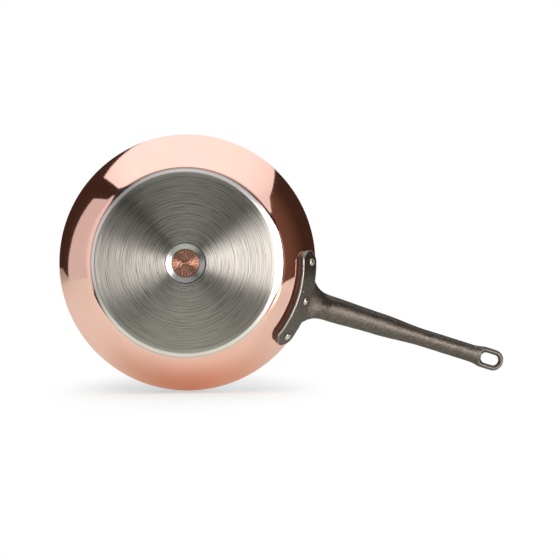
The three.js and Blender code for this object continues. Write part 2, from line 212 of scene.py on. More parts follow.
# Stations of the shank, as distances from the pan's axis
NECK_REACH = RIM_RADIUS + NECK_LENGTH
HANDLE_REACH = RIM_RADIUS + HANDLE_LENGTH
LOOP_REACH = HANDLE_REACH - LOOP_WIDTH / 2
GRIP_END = LOOP_REACH - LOOP_BLEND
TAPER_START = (NECK_REACH + GRIP_END) / 2 - TAPER_LENGTH / 2
TAPER_END = (NECK_REACH + GRIP_END) / 2 + TAPER_LENGTH / 2
LOOP_START = HANDLE_REACH - LOOP_WALL - LOOP_HOLE_LENGTH
LOOP_MIDDLE = HANDLE_REACH - LOOP_WALL - LOOP_HOLE_LENGTH / 2


# Mesh building


def wall_point(angle, down, out):
    """Point by its angle round the pan, its way down the wall's arc from the rim and its distance out."""
    slope = RIM_SLOPE - down / WALL_RADIUS
    radius = WALL_CENTRE[0] + (WALL_RADIUS + out) * np.sin(slope)
    height = WALL_CENTRE[1] - (WALL_RADIUS + out) * np.cos(slope) + 0 * angle
    return np.stack([radius * np.cos(angle), radius * np.sin(angle), height], axis=-1)


def ease(value, low, high):
    """0 below low, 1 above high and 3s^2 - 2s^3 between."""
    share = np.clip((value - low) / (high - low), 0, 1)
    return share * share * (3 - 2 * share)


def rounded_profile(corners):
    """Polyline of (radius, height, rounding) corners, each replaced by an arc tangent to both its sides."""
    points = np.array([corner[:2] for corner in corners], float)
    stretches = [points[:1]]
    for i in range(1, len(points) - 1):
        here, rounding = points[i], corners[i][2]
        sides = points[[i - 1, i + 1]] - here
        lengths = np.linalg.norm(sides, axis=1)
        before, after = sides / lengths[:, None]
        turn = np.pi - np.arccos(np.clip(before @ after, -1, 1))
        reach = min(rounding * np.tan(turn / 2), ROUNDING_LIMIT * min(lengths))
        if reach <= 0:
            stretches.append(here[None])
            continue
        arc_radius = reach / np.tan(turn / 2)
        middle = (before + after) / np.linalg.norm(before + after)
        centre = here + middle * np.hypot(reach, arc_radius)
        start, end = here + before * reach - centre, here + after * reach - centre
        share = np.linspace(0, 1, max(int(np.ceil(turn / ARC_STEP)), 2) + 1)[:, None]
        arc = (np.sin((1 - share) * turn) * start + np.sin(share * turn) * end) / np.sin(turn)
        stretches.append(centre + arc)
    stretches.append(points[-1:])
    return np.concatenate(stretches)


def unit_ring(count):
    """Cosines and sines of a full turn in even steps."""
    turn = np.linspace(0, 2 * np.pi, count, endpoint=False)
    return np.cos(turn), np.sin(turn)


def turned_points(profile, columns):
    """Profile of (radius, height) rows turned about Z: x = r cos t, y = r sin t, z = height."""
    c, s = unit_ring(columns)
    radius, height = profile[:, :1], profile[:, 1:]
    return np.stack([radius * c, radius * s, height + 0 * c], axis=-1)


def capped(points):
    """Grid of rings with a last ring added at each end, drawn in to its middle."""
    first, last = (np.broadcast_to(ring.mean(axis=0), ring.shape) for ring in (points[0], points[-1]))
    return np.concatenate([first[None], points, last[None]])


def new_object(name, data):
    """Object in the scene that shows a mesh, a lamp or a camera."""
    made = bpy.data.objects.new(name, data)
    bpy.context.scene.collection.objects.link(made)
    return made


def grid_object(name, points, close_rows=False):
    """Mesh object of a grid of points (rows, columns, 3), closed round its columns and, if asked, its rows.

    The UV map runs along the rows in u and round the columns in v, so a tangent of u points across the rings.
    """
    rows, columns = points.shape[:2]
    row = np.arange(rows if close_rows else rows - 1)[:, None]
    column = np.arange(columns)[None, :]
    steps = [(0, 0), (0, 1), (1, 1), (1, 0)]
    faces = np.stack([(row + a) % rows * columns + (column + b) % columns for a, b in steps], axis=-1)
    along = np.linalg.norm(np.diff(points[:, 0], axis=0, append=points[:1, 0]), axis=1)
    along = np.concatenate([[0], np.cumsum(along)])
    uv = np.stack([np.stack([along[row + a] + 0 * column, (column + b) / columns + 0 * row], axis=-1)
                   for a, b in steps], axis=-2)
    mesh = bpy.data.meshes.new(name)
    mesh.from_pydata(points.reshape(-1, 3), [], faces.reshape(-1, 4))
    mesh.uv_layers.new(name="rings").data.foreach_set("uv", uv.reshape(-1))
    return finished_object(name, mesh)


def finished_object(name, mesh):
    """Object of a mesh, its poles and seams merged, its faces turned out and shaded smooth."""
    work = bmesh.new()
    work.from_mesh(mesh)
    bmesh.ops.remove_doubles(work, verts=work.verts, dist=MERGE_DISTANCE)
    bmesh.ops.recalc_face_normals(work, faces=work.faces)
    work.to_mesh(mesh)
    work.free()
    mesh.shade_smooth()
    mesh.set_sharp_from_angle(angle=SHARP_ANGLE)
    return new_object(name, mesh)


def rows_of(items, name):
    """Place, normal or middle of each vertex or face, one to a row."""
    values = np.empty(3 * len(items))
    items.foreach_get(name, values)
    return values.reshape(-1, 3)


def mark_points(mesh, name, values):
    """Gives each vertex a value that a material reads by name."""
    mark = mesh.attributes.new(name, "FLOAT", "POINT")
    mark.data.foreach_set("value", values.astype(np.float32))


def dress(piece, node, slot, *materials):
    """Gives a piece its materials and its body, and hides the frame node it stands for. The slot is not used.
    """
    for material in materials:
        piece.data.materials.append(material)
    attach(piece, "root")
    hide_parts(node)


# Pan body


def arc_points(centre, radius, slopes):
    """Points of an arc in section, by the slope of the surface there: centre + radius * (sin, -cos)."""
    return centre + radius * np.stack([np.sin(slopes), -np.cos(slopes)], axis=1)


def pan_profile(depth):
    """Base, corner and wall at a depth inside the copper's outer face, from the axis out to the rim."""
    top_slope = np.arccos((WALL_CENTRE[1] - PAN_HEIGHT) / (WALL_RADIUS - depth))
    corner_slopes = np.linspace(0, FOOT_SLOPE, int(FOOT_SLOPE / ARC_STEP) + 2)
    wall_slopes = np.linspace(FOOT_SLOPE, top_slope, WALL_STEPS + 1)[1:]
    corner = arc_points(CORNER_CENTRE, CORNER_RADIUS - depth, corner_slopes)
    wall = arc_points(WALL_CENTRE, WALL_RADIUS - depth, wall_slopes)
    return np.concatenate([[(0, SHELL_BOTTOM + depth)], corner, wall])


def pan_layer(name, outer_depth, inner_depth, rim_round):
    """One layer of the pan: outer and inner profiles joined over the rim and turned about Z."""
    outer, inner = pan_profile(outer_depth), pan_profile(inner_depth)
    line = np.concatenate([outer, inner[::-1]])
    rounding = np.zeros(len(line))
    rounding[len(outer) - 1:len(outer) + 1] = rim_round
    profile = rounded_profile(np.column_stack([line, rounding]))
    return grid_object(name, turned_points(profile, PAN_COLUMNS))


# Induction plate and its middle disc


def plate_profile():
    """Closed ring: dish with a stepped shoulder, flat face, sloping step, bevelled edge and a flat top."""
    hole = MEDALLION_RADIUS + MEDALLION_CLEARANCE
    return rounded_profile([
        (hole, PLATE_THICKNESS, 0),
        (hole, DISH_DEPTH, EDGE_ROUND),
        (DISH_RADIUS, DISH_LINE_DROP, DISH_ROUND),
        (DISH_RADIUS + DISH_LINE_WIDTH, DISH_SHOULDER_DROP, 0),
        (SHOULDER_RADIUS, SHOULDER_STEP, SHOULDER_ROUND),
        (SHOULDER_RADIUS + SHOULDER_STEP_WIDTH, 0, SHOULDER_ROUND),
        (FACE_END, 0, STEP_ROUND),
        (BEVEL_START, STEP_DROP, BEVEL_START_ROUND),
        (PLATE_RADIUS, BEVEL_HEIGHT, BEVEL_ROUND),
        (PLATE_RADIUS, PLATE_THICKNESS, 0),
    ])


def base_plate(face_finish, polish):
    """Plate profile turned about Z; the flat face takes the turned finish, dish, step and edge the polish."""
    piece = grid_object("turned_base_plate", turned_points(plate_profile(), PAN_COLUMNS), close_rows=True)
    middles = rows_of(piece.data.polygons, "center")
    radius = np.hypot(middles[:, 0], middles[:, 1])
    on_face = (radius > DISH_RADIUS + DISH_LINE_WIDTH) & (radius < FACE_END)
    piece.data.polygons.foreach_set("material_index", np.where(on_face, 0, 1).astype(np.int32))
    dress(piece, "induction_plate", "turned_steel", face_finish, polish)


def band(value, low, high):
    """1 between low and high, easing to 0 over the engraving's softness outside them."""
    inside = np.minimum(value - low, high - value)
    return np.clip(0.5 + inside / ENGRAVED_SOFTNESS, 0, 1)


def spokes(turn, radius, count, span, half_width, twist=0.0):
    """Evenly spaced spokes between two radii, turned on by a twist counted in spokes."""
    off_line = np.abs((turn * count / (2 * np.pi) + twist) % 1 - 0.5) * 2 * np.pi / count * radius
    return band(radius, *span) * band(off_line, -half_width, half_width)


def engraving(radius, turn):
    """Plain turned ornament: rings, a circle of ticks and a whirl of curved arms."""
    rings = sum(band(radius, start, start + width) for start, width in ENGRAVED_RINGS)
    ticks = spokes(turn, radius, TICK_COUNT, TICK_SPAN, TICK_HALF_WIDTH)
    arms = spokes(turn, radius, ARM_COUNT, ARM_SPAN, ARM_HALF_WIDTH, radius / ARM_WHIRL)
    return np.clip(rings + ticks + arms, 0, 1)


def medallion(finish):
    """Disc turned about Z, its under face sunk by the engraving's depth where the ornament runs."""
    radii = np.linspace(0, MEDALLION_RADIUS - MEDALLION_CHAMFER, MEDALLION_ROWS)
    sides = [(MEDALLION_RADIUS, MEDALLION_CHAMFER), (MEDALLION_RADIUS, PLATE_THICKNESS), (0, PLATE_THICKNESS)]
    profile = np.concatenate([np.column_stack([radii, 0 * radii]), sides])
    points = turned_points(profile, MEDALLION_COLUMNS)
    face = points[:MEDALLION_ROWS]
    turn = np.arctan2(face[:, :, 1], face[:, :, 0])
    face[:, :, 2] += ENGRAVED_DEPTH * engraving(radii[:, None] + 0 * turn, turn)
    piece = grid_object("centre_medallion", points)
    height = rows_of(piece.data.vertices, "co")[:, 2]
    on_face = height < 1.5 * ENGRAVED_DEPTH
    mark_points(piece.data, "engraved", np.where(on_face, np.clip(height / ENGRAVED_DEPTH, 0, 1), 0))
    dress(piece, "base_medallion", "satin_copper", finish)


# Handle

# The line up the flange meets the line of the neck at the bend.
BEND = wall_point(0.0, FLANGE_DROP / 2, FLANGE_MIDDLE)
NECK_HEIGHT = BEND[2] + (NECK_REACH - BEND[0]) * np.tan(RISE_AT_NECK)


def shank_height(reach):
    """Height of the shank's middle line: a parabola from the neck's rise to the loop's."""
    along = reach - NECK_REACH
    bend = (np.tan(RISE_AT_LOOP) - np.tan(RISE_AT_NECK)) / (2 * (LOOP_REACH - NECK_REACH))
    return NECK_HEIGHT + along * np.tan(RISE_AT_NECK) + bend * along ** 2


def shank_rise(reach):
    """Slope angle of that parabola."""
    share = (reach - NECK_REACH) / (LOOP_REACH - NECK_REACH)
    return np.arctan(np.tan(RISE_AT_NECK) * (1 - share) + np.tan(RISE_AT_LOOP) * share)


def shank_size(reach, neck, shoulder, grip, loop, loop_from, loop_to):
    """Width or thickness along the shank: neck, shoulder, grip and loop, each eased into the next."""
    size = neck + (shoulder - neck) * ease(reach, NECK_REACH, TAPER_START)
    size = size + (grip - shoulder) * ease(reach, TAPER_START, TAPER_END)
    return size + (loop - grip) * ease(reach, loop_from, loop_to)


def swept_bar(reach, height, rise, width, thickness):
    """Oval sections square to a path in the XZ plane: centre + side * width / 2 + up * thickness / 2."""
    across, above = unit_ring(SHANK_COLUMNS)
    above = above[None, :] * thickness[:, None] / 2
    x = reach[:, None] - np.sin(rise)[:, None] * above
    z = height[:, None] + np.cos(rise)[:, None] * above
    return np.stack([x, across[None, :] * width[:, None] / 2, z], axis=-1)


def root_bar():
    """Root of the shank: up the flange, round the bend and out to the neck, on a quadratic curve."""
    share = np.linspace(0, 1, ROOT_ROWS)[:, None]
    start = wall_point(0.0, RIVET_DOWN - OUTER_HEAD_RADIUS - ROOT_HEAD_MARGIN, FLANGE_MIDDLE)
    neck = np.array([NECK_REACH, 0, NECK_HEIGHT])
    path = (1 - share) ** 2 * start + 2 * share * (1 - share) * BEND + share ** 2 * neck
    way = 2 * (1 - share) * (BEND - start) + 2 * share * (neck - BEND)
    share = share[:, 0]
    width = NECK_WIDTH + (ROOT_WIDTH - NECK_WIDTH) * (1 - share) ** ROOT_NARROWING
    thickness = ROOT_THICKNESS + (NECK_THICKNESS - ROOT_THICKNESS) * share ** 2
    return path[:, 0], path[:, 2], np.arctan2(way[:, 2], way[:, 0]), width, thickness


def shank_points():
    """Root, shank and the solid stretch up to the near end of the loop's hole, in one run of sections.

    The root's sections are wrapped round the pan, fully where it leaves the flange and less toward the neck.
    """
    reach = np.linspace(NECK_REACH, LOOP_START - SHANK_END_MARGIN, SHANK_ROWS)[1:]
    width = shank_size(reach, NECK_WIDTH, SHOULDER_WIDTH, GRIP_WIDTH, LOOP_WIDTH,
                       GRIP_END, LOOP_START + LOOP_HOLE_WIDTH / 2)
    thickness = shank_size(reach, NECK_THICKNESS, SHOULDER_THICKNESS, GRIP_THICKNESS, LOOP_THICKNESS,
                           TAPER_END, LOOP_REACH)
    shank = (reach, shank_height(reach), shank_rise(reach), width, thickness)
    points = swept_bar(*[np.concatenate(pair) for pair in zip(root_bar(), shank)])
    wrap = np.concatenate([np.linspace(1, 0, ROOT_ROWS), np.zeros(len(reach))])[:, None]
    points[:, :, 0] -= wrap * (RIVET_WALL_RADIUS - np.sqrt(RIVET_WALL_RADIUS ** 2 - points[:, :, 1] ** 2))
    return capped(points)


def loop_points():
    """Band carried round a long oval hole, its outline round at the tip and squarer next to the shank."""
    along, across = unit_ring(LOOP_ROWS)
    side_wall = (LOOP_WIDTH - LOOP_HOLE_WIDTH) / 2
    hole_radius = LOOP_HOLE_WIDTH / 2
    straight = LOOP_HOLE_LENGTH / 2 - hole_radius
    shift = straight * np.clip(along * LOOP_TURN_IN, -1, 1)
    square = (along ** LOOP_SQUARENESS + across ** LOOP_SQUARENESS) ** (-1 / LOOP_SQUARENESS)
    outside = hole_radius + LOOP_WALL + (side_wall - LOOP_WALL) * across ** 2
    wall = np.where(along < 0, outside * square, outside) - hole_radius
    c, s = unit_ring(LOOP_COLUMNS)
    out = hole_radius + wall[:, None] * (1 + c[None, :]) / 2
    lengthwise = shift[:, None] + along[:, None] * out
    sideways = across[:, None] * out
    above = s[None, :] * LOOP_THICKNESS / 2 + 0 * sideways
    rise = shank_rise(LOOP_MIDDLE)
    x = LOOP_MIDDLE + lengthwise * np.cos(rise) - above * np.sin(rise)
    z = shank_height(LOOP_MIDDLE) + lengthwise * np.sin(rise) + above * np.cos(rise)
    return np.stack([x, sideways, z], axis=-1)


def flange_points():
    """Round-ended plate bent to the wall: rounded oblong sections carried round the pan's axis."""
    half_arc = RIVET_SPACING + FLANGE_END_MARGIN
    lobe = FLANGE_HEIGHT / 2
    end = lobe * (1 - np.cos(np.linspace(FLANGE_FIRST_TURN, np.pi / 2, FLANGE_END_ROWS)))
    between = np.linspace(lobe, 2 * half_arc - lobe, FLANGE_ROWS)[1:-1]
    arc = np.concatenate([end, between, 2 * half_arc - end[::-1]])
    inner = np.minimum(arc, 2 * half_arc - arc)
    half = np.sqrt(lobe ** 2 - np.maximum(lobe - inner, 0) ** 2)
    rounding = FLANGE_ROUND + (FLANGE_END_ROUND - FLANGE_ROUND) * (1 - ease(inner, 0, lobe))
    quarter = np.linspace(0, np.pi / 2, FLANGE_CORNER_COLUMNS)
    corners = [(1, 1, 0), (-1, 1, np.pi / 2), (-1, -1, np.pi), (1, -1, 3 * np.pi / 2)]
    across, out = [], []
    for side, face, start in corners:
        edge = np.minimum(rounding if face > 0 else FLANGE_BACK_ROUND, half / 2)[:, None]
        across.append(side * (half[:, None] - edge) + edge * np.cos(start + quarter))
        out.append(FLANGE_MIDDLE + face * (FLANGE_THICKNESS / 2 - edge) + edge * np.sin(start + quarter))
    across, out = np.concatenate(across, axis=1), np.concatenate(out, axis=1)
    angle = ((arc - half_arc) / RIVET_WALL_RADIUS)[:, None] + 0 * across
    return capped(wall_point(angle, FLANGE_DROP + lobe + across, out))


def lattice_noise(places, cell, seed):
    """Smooth noise from -1 to 1: random values on a cubic lattice, eased and mixed between its corners."""
    table = np.random.default_rng(seed).uniform(-1, 1, LATTICE_VALUES)
    scaled = places / cell
    base = np.floor(scaled).astype(np.int64)
    share = ease(scaled - base, 0, 1)
    total = np.zeros(len(places))
    for corner in np.ndindex(2, 2, 2):
        keys = (base + corner) * LATTICE_PRIMES
        key = (keys[:, 0] ^ keys[:, 1] ^ keys[:, 2]) % LATTICE_VALUES
        total += table[key] * np.where(np.array(corner) == 1, share, 1 - share).prod(axis=1)
    return total


def grown_skin():
    """Flange, shank and loop grown into one skin by a voxel remesh and smoothed."""
    blanks = [grid_object("handle_blank", flange_points()), grid_object("handle_blank", shank_points()),
              grid_object("handle_blank", loop_points(), close_rows=True)]
    joined = bmesh.new()
    for blank in blanks:
        joined.from_mesh(blank.data)
        bpy.data.objects.remove(blank)
    mesh = bpy.data.meshes.new("handle_blank")
    joined.to_mesh(mesh)
    joined.free()
    rough = new_object("handle_blank", mesh)
    remesh = rough.modifiers.new("grow_together", "REMESH")
    remesh.mode = "VOXEL"
    remesh.voxel_size = HANDLE_VOXEL
    smooth = rough.modifiers.new("soften", "SMOOTH")
    smooth.factor = 0.5
    smooth.iterations = HANDLE_SMOOTHING
    skin = bpy.data.meshes.new_from_object(rough.evaluated_get(bpy.context.evaluated_depsgraph_get()))
    skin.name = "cast_handle"
    bpy.data.objects.remove(rough)
    return skin


def seat_on_wall(places):
    """Pushes points too near the wall out to the seat; gives their distances off and down the wall."""
    radius = np.hypot(places[:, 0], places[:, 1])
    from_centre = np.stack([radius, places[:, 2]], axis=1) - WALL_CENTRE
    distance = np.linalg.norm(from_centre, axis=1)
    push = np.maximum(WALL_RADIUS + SEAT_GAP - distance, 0)
    moved = from_centre / distance[:, None] * push[:, None]
    places[:, :2] += places[:, :2] / radius[:, None] * moved[:, :1]
    places[:, 2] += moved[:, 1]
    off_wall = np.maximum(distance, WALL_RADIUS + SEAT_GAP) - WALL_RADIUS
    down = (RIM_SLOPE - np.arctan2(from_centre[:, 0], -from_centre[:, 1])) * WALL_RADIUS
    return off_wall, down


def cast_handle(finish):
    """Grown skin made lumpy along its normals, seated on the wall and marked for its painted side shade, end
    highlight, wall reflection and edge glint.
    """
    skin = grown_skin()
    places, normals = rows_of(skin.vertices, "co"), rows_of(skin.vertices, "normal")
    pip = wall_point(-PIP_ALONG / RIVET_WALL_RADIUS, RIVET_DOWN + PIP_DOWN, FLANGE_FACE)
    on_pip = 1 - ease(np.linalg.norm(places - pip, axis=1), 0, PIP_RADIUS)
    lumps = sum(height * lattice_noise(places, cell, seed) for height, cell, seed in CASTING_LUMPS)
    places += normals * (lumps + PIP_HEIGHT * on_pip)[:, None]
    off_wall, down = seat_on_wall(places)
    skin.vertices.foreach_set("co", places.reshape(-1))
    along = np.arctan2(places[:, 1], places[:, 0]) * RIVET_WALL_RADIUS
    upper_end = ease(-along, *UPPER_END)
    # painted highlight along one lower edge of the flange and on the pip, where the softbox's glint falls
    wear_and_glint = ease(down, *GLINT_DOWN) * ease(off_wall, *GLINT_OFF_WALL)
    mark_points(skin, "painted_edge_glint", np.maximum(wear_and_glint, on_pip))
    # painted shade on the flange's side next to the wall, fading off the wall and toward the upper end
    mark_points(skin, "painted_side_shade", (1 - ease(off_wall, *SIDE_SHADE_FADE)) * (1 - upper_end))
    # painted highlight of the overhead light on the flange's upper end
    mark_points(skin, "painted_end_highlight", (1 - ease(off_wall, *END_HIGHLIGHT_FADE)) * upper_end)
    # painted reflection: an orange-brown band on the iron next to the wall, standing for the copper-tinted
    # reflection of the flange's side
    mark_points(skin, "painted_wall_reflection", 1 - ease(off_wall, *WALL_REFLECTION_FADE))
    dress(finished_object("cast_handle", skin), "handle", "cast_iron", finish)


# Rivets


def rivet(name, node, angle, finish):
    """Low wide head inside, shank, small domed head outside: one profile turned about the wall's normal."""
    hollow = INNER_HEAD_RADIUS ** 2 * np.sin(RIVET_SLOPE) / (2 * RIVET_WALL_RADIUS)
    inner_seat = -(INSIDE_DEPTH + SEAT_GAP + hollow)
    outer_seat = FLANGE_FACE + SEAT_GAP
    turn = np.linspace(0, np.pi / 2, RIVET_HEAD_ROWS)
    c, s = np.cos(turn), np.sin(turn)
    inner = np.column_stack([INNER_HEAD_RADIUS * s, inner_seat - INNER_HEAD_HEIGHT * c])
    outer = np.column_stack([OUTER_HEAD_RADIUS * c, outer_seat + OUTER_HEAD_HEIGHT * s])
    outer[-1, 0] = 0
    shank = [(RIVET_SHANK_RADIUS, inner_seat), (RIVET_SHANK_RADIUS, outer_seat)]
    points = turned_points(np.concatenate([inner, shank, outer]), RIVET_COLUMNS)
    across = np.sin(RIVET_SLOPE)
    out = np.array([np.cos(angle) * across, np.sin(angle) * across, -np.cos(RIVET_SLOPE)])
    side = np.array([-np.sin(angle), np.cos(angle), 0])
    foot = wall_point(np.float64(angle), RIVET_DOWN, 0.0)
    placed = foot + points @ np.stack([side, np.cross(out, side), out])
    dress(grid_object(name, placed), node, "rivet_steel", finish)


# Node building


def fill(tree, node, inputs):
    """Fills a node's inputs with links from sockets or with plain numbers, vectors and colours."""
    for key, value in inputs.items():
        socket = node.inputs[key]
        if isinstance(value, bpy.types.NodeSocket):
            tree.links.new(value, socket)
        else:
            socket.default_value = (*value, 1) if socket.type == "RGBA" else value


def add(tree, kind, inputs=None, **settings):
    """Adds a shader node, sets its properties and fills its inputs."""
    node = tree.nodes.new("ShaderNode" + kind)
    for name, value in settings.items():
        setattr(node, name, value)
    fill(tree, node, inputs or {})
    return node


def join(kind, inputs, **settings):
    """Adds a shader node to the tree that the sockets among its inputs belong to."""
    tree = next(value.id_data for value in inputs.values() if isinstance(value, bpy.types.NodeSocket))
    return add(tree, kind, inputs, **settings)


def math(operation, *values):
    """Arithmetic of sockets and plain numbers."""
    return join("Math", dict(enumerate(values)), operation=operation).outputs[0]


def vector(operation, *values):
    """Arithmetic of vectors, whose result can be a number."""
    node = join("VectorMath", dict(enumerate(values)), operation=operation)
    return node.outputs["Value" if operation in ("LENGTH", "DISTANCE", "DOT_PRODUCT") else "Vector"]


def scaled(colour, factor):
    """Colour or vector times a factor."""
    return join("VectorMath", {0: colour, "Scale": factor}, operation="SCALE").outputs[0]


def value_mix(share, first, second):
    """Mix of two numbers by a share from 0 to 1."""
    return join("Mix", {0: share, 2: first, 3: second}).outputs[0]


def colour_mix(share, first, second):
    """Mix of two colours by a share from 0 to 1."""
    return join("Mix", {0: share, 6: first, 7: second}, data_type="RGBA").outputs[2]


def value_range(value, low, high, start=0.0, end=1.0, course="LINEAR"):
    """Runs from low to high while a value runs from start to end."""
    inputs = {"Value": value, "From Min": start, "From Max": end, "To Min": low, "To Max": high}
    return join("MapRange", inputs, interpolation_type=course).outputs[0]


def eased(value, start, end, low=0.0, high=1.0):
    """The same on an easing course."""
    return value_range(value, low, high, start, end, "SMOOTHSTEP")


def surface_place(tree):
    """Place on the surface, in the frame's own coordinates."""
    return add(tree, "TexCoord").outputs["Object"]


def flat_place(tree):
    """Place on the surface with its height left out."""
    return vector("MULTIPLY", surface_place(tree), (1, 1, 0))


def axis_distance(tree):
    """Distance from the pan's axis."""
    return vector("LENGTH", flat_place(tree))


def by_radius(tree, inner, outer, low=0.0, high=1.0):
    """Eases from low at one distance from the pan's axis to high at another."""
    return eased(axis_distance(tree), inner, outer, low, high)


def noise(place, scale, detail, roughness=0.5):
    """Cloudy noise between 0 and 1."""
    inputs = {"Vector": place, "Scale": scale, "Detail": detail, "Roughness": roughness}
    return join("TexNoise", inputs).outputs["Fac"]


def line_noise(place, detail):
    """Noise that changes along one number alone."""
    inputs = {"W": place, "Scale": 1.0, "Detail": detail}
    return join("TexNoise", inputs, noise_dimensions="1D").outputs["Fac"]


def ring_arcs(tree, pitch, turns):
    """Noise in short arcs round the pan's axis: fine along the radius and long round it."""
    round_axis = scaled(vector("NORMALIZE", flat_place(tree)), turns)
    steps = math("DIVIDE", axis_distance(tree), pitch)
    along = join("CombineXYZ", {"Z": steps}).outputs[0]
    return noise(vector("ADD", round_axis, along), scale=1.0, detail=2.0)


def bump(height, depth, strength, under=None):
    """Bump of a real depth, over another normal if one is given."""
    inputs = {"Height": height, "Distance": depth, "Strength": strength}
    if under is not None:
        inputs["Normal"] = under
    return join("Bump", inputs).outputs[0]


def point_mark(tree, name):
    """Value that the vertices carry under a name."""
    return add(tree, "Attribute", attribute_name=name).outputs["Fac"]


def ring_tangent(tree):
    """Tangent across the rings, from the surface's own UV map."""
    return add(tree, "Tangent", direction_type="UV_MAP", uv_map="rings").outputs[0]


# Effects that several finishes share

FINE_RINGS = 5.3
SCRATCH_TILT = (0.3, 0.2)
SCRATCH_TURNS = (0.5, 2.1)
SCRATCH_STRETCH = (1.0, 26.0, 5.0)
SCRATCH_WIDTH = 0.006


def new_group(name, inputs):
    """Empty shader node group with number inputs of given defaults."""
    group = bpy.data.node_groups.new(name, "ShaderNodeTree")
    for label, default in inputs.items():
        socket = group.interface.new_socket(name=label, in_out="INPUT", socket_type="NodeSocketFloat")
        socket.default_value = default
    return group, group.nodes.new("NodeGroupInput").outputs


def finish_group(group, label, value):
    """Puts out a group's one value."""
    group.interface.new_socket(name=label, in_out="OUTPUT", socket_type="NodeSocketFloat")
    fill(group, group.nodes.new("NodeGroupOutput"), {label: value})
    return group


def use_group(tree, group, **inputs):
    """Value of a shared group with inputs of its own; underscores in names stand for spaces."""
    values = {label.replace("_", " "): value for label, value in inputs.items()}
    return add(tree, "Group", values, node_tree=group).outputs[0]


def turning_marks_group():
    """Fine rings about the pan's axis: noise read along the radius alone, in a coarse and a fine size."""
    group, given = new_group("turning_marks", {"Ring Pitch": 1.2 * MM, "Fine Share": 0.5})
    steps = math("DIVIDE", axis_distance(group), given["Ring Pitch"])
    coarse = line_noise(steps, detail=2.0)
    fine = line_noise(math("MULTIPLY", steps, FINE_RINGS), detail=3.0)
    return finish_group(group, "Height", value_mix(given["Fine Share"], coarse, fine))


def blotches_group():
    """Soft cloudy patches between 0 and 1, for polish and tarnish that vary over a surface."""
    group, given = new_group("soft_blotches", {"Patch Size": 30 * MM, "Contrast": 1.0})
    scale = math("DIVIDE", 1.0, given["Patch Size"])
    cloud = noise(surface_place(group), scale, detail=4.0, roughness=0.55)
    spread = math("MULTIPLY", math("SUBTRACT", cloud, 0.5), given["Contrast"])
    mask = join("Math", {0: spread, 1: 0.5}, operation="ADD", use_clamp=True).outputs[0]
    return finish_group(group, "Mask", mask)


def scratches_group():
    """Hairline scratches in two crossing directions: noise stretched long and cut to thin lines."""
    group, given = new_group("hairline_scratches", {"Length": 18 * MM, "Amount": 0.5})
    scale = math("DIVIDE", 1.0, given["Length"])
    lines = []
    for turn in SCRATCH_TURNS:
        turned = (*SCRATCH_TILT, turn)
        stretched = {"Vector": surface_place(group), "Rotation": turned, "Scale": SCRATCH_STRETCH}
        cloud = noise(join("Mapping", stretched).outputs[0], scale, detail=1.0)
        away = math("ABSOLUTE", math("SUBTRACT", cloud, 0.5))
        lines.append(math("LESS_THAN", away, SCRATCH_WIDTH))
    both = math("MAXIMUM", *lines)
    return finish_group(group, "Mask", math("MULTIPLY", both, given["Amount"]))


TURNING = turning_marks_group()
BLOTCHES = blotches_group()
SCRATCHES = scratches_group()


# Finishes

# Shapes too slight for the mesh, seen only in reflections
FACE_CROWN_RADIUS = 1.7
DISH_EXTRA_SLOPE = np.tan(np.radians(8.5))

# Changes with the distance from the axis
DULL_CORNER_WIDTH = 8 * MM
DULL_CORNER_ROUGHNESS = 0.06
FACE_DIMMING_START = 45 * MM
FACE_DIMMING = 0.88
DISH_DIMMING_END = 30 * MM
DISH_DIMMING = 0.70
# Painted shade of the gap line between the plate's edge and the copper
PAINTED_EDGE_SHADE_WIDTH = 1.7 * MM
PAINTED_EDGE_SHADE = 0.6
BEVEL_EXTRA_ROUGHNESS = 0.05

# Colours; a pair holds the two that a pattern runs between
POLISHED_COPPER = ((0.93, 0.58, 0.50), (0.91, 0.55, 0.465))
FACE_RINGS = ((0.42, 0.385, 0.345), (0.80, 0.74, 0.67))
LIP_STEEL = (0.66, 0.63, 0.585)
DISH_STEEL = ((0.84, 0.81, 0.775), (0.775, 0.75, 0.715))
EDGE_STEEL = ((0.83, 0.75, 0.715), (0.765, 0.69, 0.655))
DISC_RINGS = ((0.70, 0.30, 0.195), (0.97, 0.57, 0.42))
ENGRAVED_COPPER = (0.26, 0.085, 0.055)
LINING_STEEL = ((0.71, 0.70, 0.68), (0.65, 0.64, 0.62))
IRON_PATCHES = ((0.097, 0.081, 0.072), (0.135, 0.113, 0.099))
IRON_GRAIN = (0.250, 0.217, 0.183)
WEAR_AND_GLINT_IRON = (0.60, 0.56, 0.50)
# Painted shade on the flange's side, painted highlight at its upper end and painted reflection next to the
# wall, each laid over the iron by its mask
IRON_PAINTED_LIGHT = {
    "painted_side_shade": (0.060, 0.048, 0.038),
    "painted_end_highlight": (0.21, 0.235, 0.235),
    "painted_wall_reflection": (0.29, 0.15, 0.085),
}
RIVET_STEEL = ((0.80, 0.75, 0.66), (0.30, 0.265, 0.21))

# Contrast of the turned rings and of the iron's grain, pale ridges (partly wear, partly painted highlight)
# and pits
RING_SHARES = (-2.6, 3.6)
ARC_SHARE = 0.3
GRAIN_SIZE = 2.1 * MM
GRAIN_SHARES = (-0.9, 1.2)
PIT_SIZE = 1.9 * MM
PIT_HEIGHT = 0.5
WEAR_AND_GLINT_POINTINESS = (0.51, 0.56)
WEAR_AND_GLINT_SHARE = 0.9
ENGRAVED_ROUGHNESS = 0.25


def new_material(name):
    """Material with nodes, and its node tree."""
    material = bpy.data.materials.new(name)
    material.use_nodes = True
    return material, material.node_tree


def finished(finish):
    """Material named after its finish, which fills the Principled shader; metal by default."""
    material, tree = new_material(finish.__name__)
    fill(tree, tree.nodes["Principled BSDF"], {"Metallic": 1.0, **finish(tree)})
    return material


